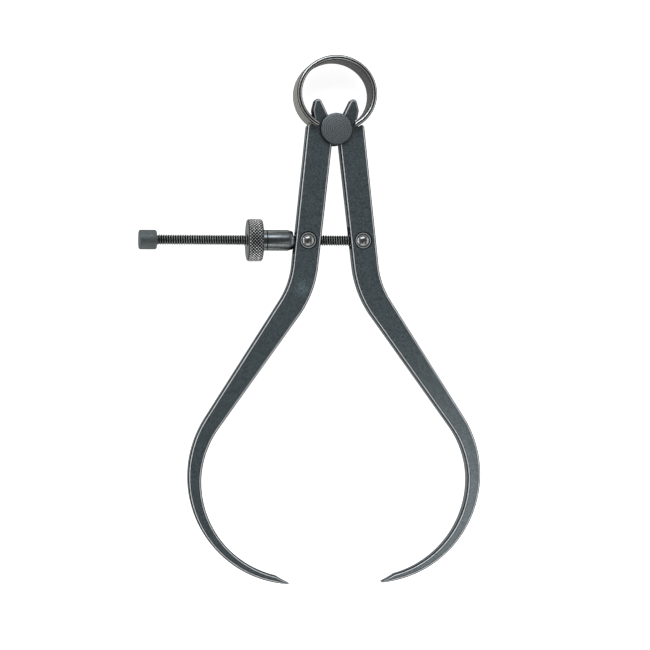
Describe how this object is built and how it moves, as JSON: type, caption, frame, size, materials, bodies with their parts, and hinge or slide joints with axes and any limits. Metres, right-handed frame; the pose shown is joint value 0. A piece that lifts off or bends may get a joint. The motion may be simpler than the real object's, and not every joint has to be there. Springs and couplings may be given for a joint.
{
  "type": "outside spring caliper",
  "caption": "Outside spring caliper with bowed legs on a fulcrum spool under a bow spring, set by a knurled nut on a fine-threaded screw; for gauging outside sizes.",
  "frame": {"origin": "middle of the fulcrum spool, half way through the legs' thickness", "axes": "+Z out of the front face, +Y towards the spring's ring, -Y towards the tips, +X to the right leg"},
  "size_m": [0.1146, 0.1756, 0.0144],
  "materials": {
    "blackened_steel": "blackened, satin",
    "spring_steel": "tempered, satin",
    "turned_steel": "turned",
    "polished_steel": "polished",
    "screw_steel": "dark, threaded"
  },
  "bodies": {
    "fulcrum": {"fulcrum_stud": "turned_steel"},
    "bow": {"bow_spring": "spring_steel"},
    "left_arm": {"left_leg": "blackened_steel"},
    "right_arm": {"right_leg": "blackened_steel"},
    "left_pivot": {"left_swivel": "polished_steel"},
    "right_pivot": {"right_swivel": "polished_steel", "adjusting_screw": "screw_steel", "screw_end_stop": "turned_steel"},
    "sleeve": {"thrust_sleeve": "turned_steel"},
    "nut": {"knurled_nut": "turned_steel"}
  },
  "joints": [
    {"name": "left_leg_swing", "type": "hinge", "parent": "fulcrum", "child": "left_arm", "pos_m": [0, 0, 0], "axis": [0, 0, -1], "range_deg": [-5.81, 23.01]},
    {"name": "right_leg_swing", "type": "hinge", "parent": "fulcrum", "child": "right_arm", "pos_m": [0, 0, 0], "axis": [0, 0, 1], "range_deg": [-5.81, 23.01]},
    {"name": "bow_lift", "type": "slide", "parent": "fulcrum", "child": "bow", "axis": [0, 1, 0], "range_m": [-0.00099, 0.00391]},
    {"name": "left_swivel_turn", "type": "hinge", "parent": "left_arm", "child": "left_pivot", "pos_m": [-0.00925, -0.03705, 0], "axis": [0, 0, 1], "range_deg": [-5.81, 23.01]},
    {"name": "right_swivel_turn", "type": "hinge", "parent": "right_arm", "child": "right_pivot", "pos_m": [0.00925, -0.03705, 0], "axis": [0, 0, -1], "range_deg": [-5.81, 23.01]},
    {"name": "sleeve_slide", "type": "slide", "parent": "left_pivot", "child": "sleeve", "axis": [-1, 0, 0], "range_m": [-0.0005, 0.00198]},
    {"name": "nut_turn", "type": "hinge", "parent": "sleeve", "child": "nut", "pos_m": [-0.027, -0.03705, 0], "axis": [-1, 0, 0], "range_deg": [-3375, 13362]}
  ],
  "couplings": [
    {"joint": "right_leg_swing", "follows": "left_leg_swing", "ratio": 1},
    {"joint": "left_swivel_turn", "follows": "left_leg_swing", "ratio": 1},
    {"joint": "right_swivel_turn", "follows": "left_leg_swing", "ratio": 1},
    {"joint": "bow_lift", "follows": "left_leg_swing", "m_per_rad": 0.0097155},
    {"joint": "sleeve_slide", "follows": "left_leg_swing", "m_per_rad": 0.00491},
    {"joint": "nut_turn", "follows": "left_leg_swing", "ratio": 580.65}
  ]
}
